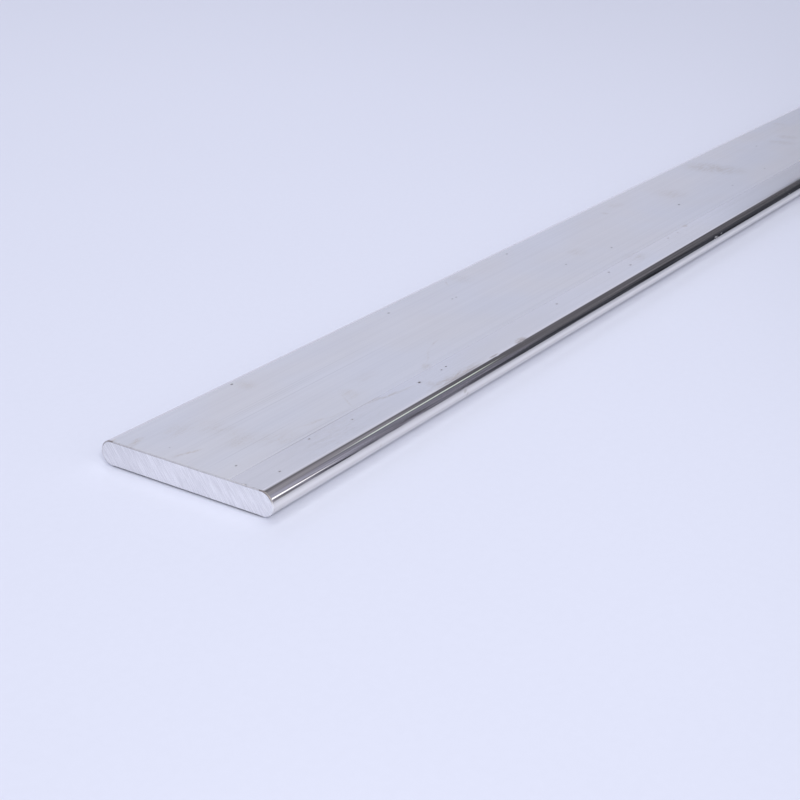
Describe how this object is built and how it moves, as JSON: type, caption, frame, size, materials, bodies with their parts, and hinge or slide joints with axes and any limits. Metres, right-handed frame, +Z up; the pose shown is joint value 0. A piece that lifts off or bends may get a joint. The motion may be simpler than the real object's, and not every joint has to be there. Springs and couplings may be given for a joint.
{
  "type": "aluminium busbar",
  "caption": "Flat extruded aluminium busbar with full-round edges and square sawn ends: undrilled stock that carries current between bolted or clamped joints.",
  "frame": {"origin": "middle of the underside, on the surface that the bar lies on", "axes": "+X along the length, +Y across the width, +Z up through the thickness"},
  "size_m": [1, 0.08, 0.01],
  "materials": {
    "aluminium": "mill finish: satin flat faces with lengthwise die lines, mirror-bright round edges, sawn ends"
  },
  "bodies": {
    "root": {"busbar": "aluminium"}
  },
  "joints": []
}
